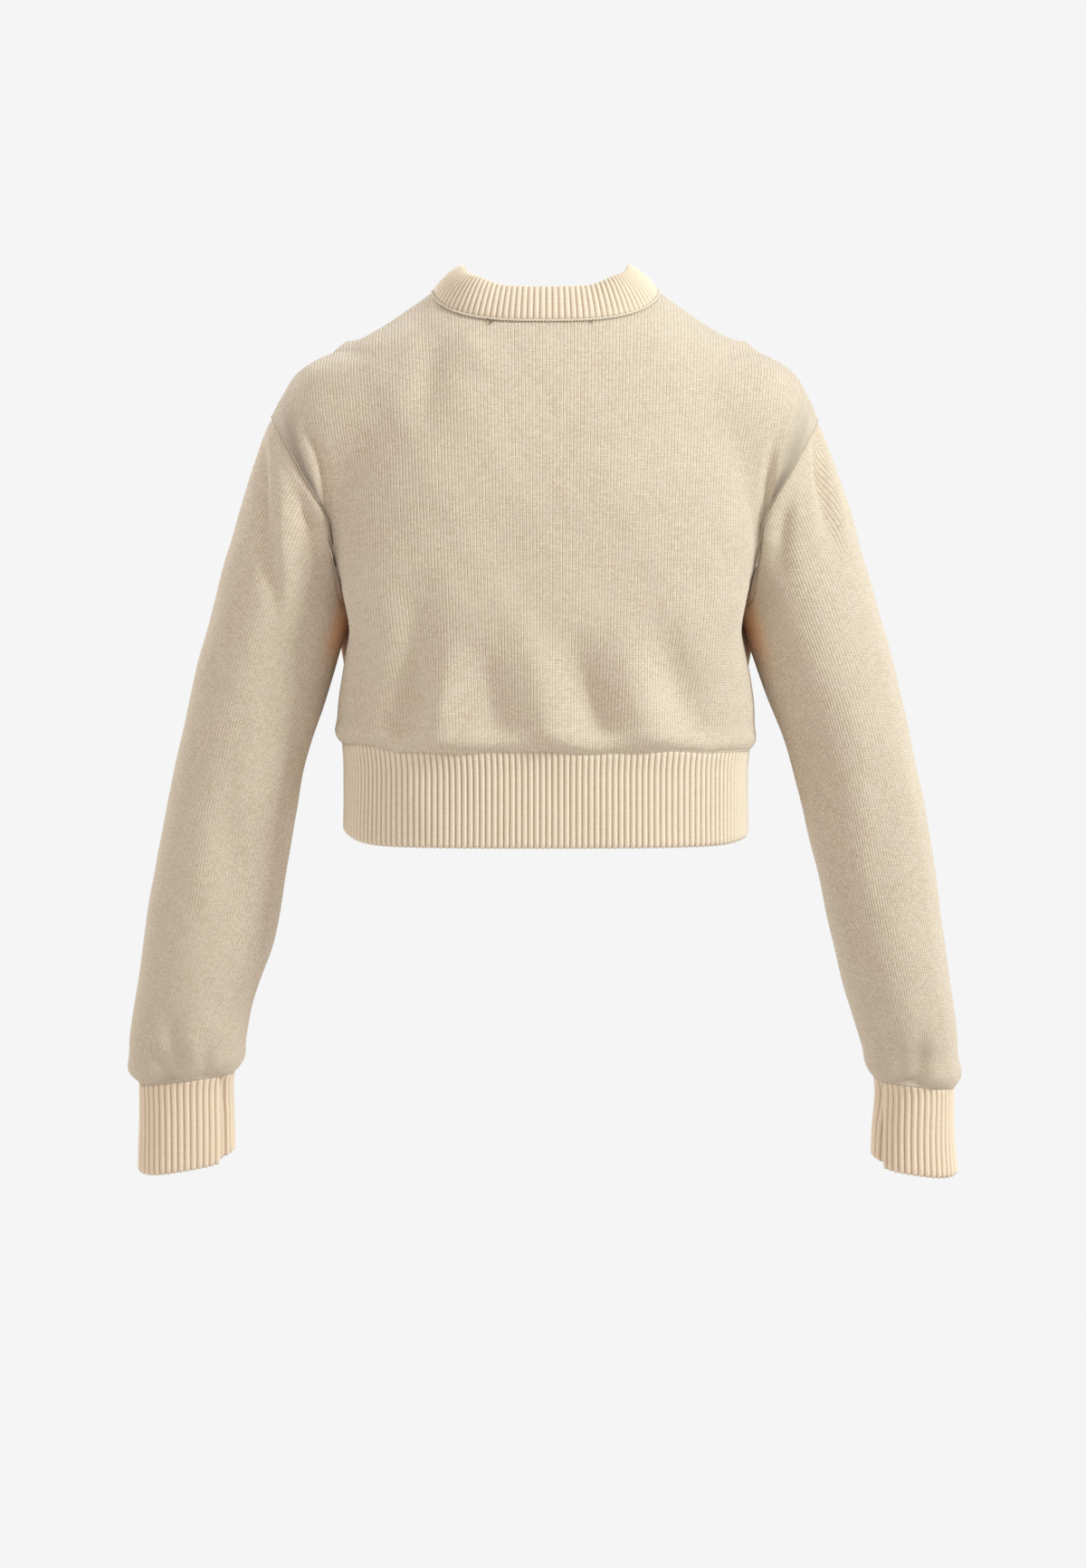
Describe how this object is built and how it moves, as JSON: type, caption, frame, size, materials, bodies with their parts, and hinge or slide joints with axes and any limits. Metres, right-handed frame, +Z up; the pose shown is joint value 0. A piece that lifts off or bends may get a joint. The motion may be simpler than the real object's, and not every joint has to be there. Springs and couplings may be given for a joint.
{
  "type": "cropped knit sweater",
  "caption": "Cropped long-sleeved knit sweater with a folded crew-neck rib, dropped shoulders, wide hem rib and ribbed cuffs, in the filled shape it has when worn.",
  "frame": {"origin": "midway between the two side neck points, where the shoulder seams meet the neck seam", "axes": "+Z up, -Y to the wearer's front, +X to the wearer's left"},
  "size_m": [0.6484, 0.2227, 0.7092],
  "materials": {
    "jersey": "soft brushed wool jersey, matte",
    "rib": "soft 1x1 wool rib, matte"
  },
  "bodies": {
    "root": {"back_panel": "jersey", "front_panel": "jersey", "hem_rib_back": "rib", "hem_rib_front": "rib", "neck_rib": "rib", "sleeve_left": "jersey", "sleeve_right": "jersey", "cuff_left": "rib", "cuff_right": "rib"}
  },
  "joints": []
}
